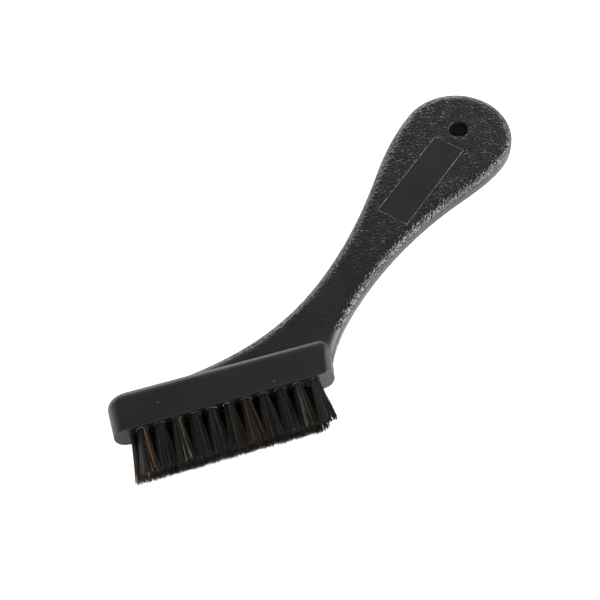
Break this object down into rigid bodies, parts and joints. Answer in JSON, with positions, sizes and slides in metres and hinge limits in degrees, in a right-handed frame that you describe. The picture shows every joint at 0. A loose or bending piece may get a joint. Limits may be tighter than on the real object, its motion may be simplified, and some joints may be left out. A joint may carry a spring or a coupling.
{
  "type": "upholstery brush",
  "caption": "Hand brush with a flat paddle handle, a bar head and staggered rows of dark hair tufts, for brushing upholstery.",
  "frame": {"origin": "middle of the flat rear side of the head, which the brush lies on", "axes": "+X along the head towards the handle's end, +Y from the bristles towards the handle, +Z out of the broad front face"},
  "size_m": [0.1764, 0.1249, 0.0116],
  "materials": {
    "body_plastic": "black moulded plastic: leather-grain handle faces, satin head and side walls",
    "hair": "near-black horse hair with some red-brown strands, trimmed flush",
    "anchor_wire": "plain flat wire"
  },
  "bodies": {
    "root": {"handle_body": "body_plastic", "tuft_front_01": "hair", "tuft_front_02": "hair", "tuft_front_03": "hair", "tuft_front_04": "hair", "tuft_front_05": "hair", "tuft_front_06": "hair", "tuft_front_07": "hair", "tuft_front_08": "hair", "tuft_front_09": "hair", "tuft_front_10": "hair", "tuft_front_11": "hair", "tuft_rear_01": "hair", "tuft_rear_02": "hair", "tuft_rear_03": "hair", "tuft_rear_04": "hair", "tuft_rear_05": "hair", "tuft_rear_06": "hair", "tuft_rear_07": "hair", "tuft_rear_08": "hair", "tuft_rear_09": "hair", "tuft_rear_10": "hair", "tuft_rear_11": "hair", "anchor_front_01": "anchor_wire", "anchor_front_02": "anchor_wire", "anchor_front_03": "anchor_wire", "anchor_front_04": "anchor_wire", "anchor_front_05": "anchor_wire", "anchor_front_06": "anchor_wire", "anchor_front_07": "anchor_wire", "anchor_front_08": "anchor_wire", "anchor_front_09": "anchor_wire", "anchor_front_10": "anchor_wire", "anchor_front_11": "anchor_wire", "anchor_rear_01": "anchor_wire", "anchor_rear_02": "anchor_wire", "anchor_rear_03": "anchor_wire", "anchor_rear_04": "anchor_wire", "anchor_rear_05": "anchor_wire", "anchor_rear_06": "anchor_wire", "anchor_rear_07": "anchor_wire", "anchor_rear_08": "anchor_wire", "anchor_rear_09": "anchor_wire", "anchor_rear_10": "anchor_wire", "anchor_rear_11": "anchor_wire"}
  },
  "joints": []
}
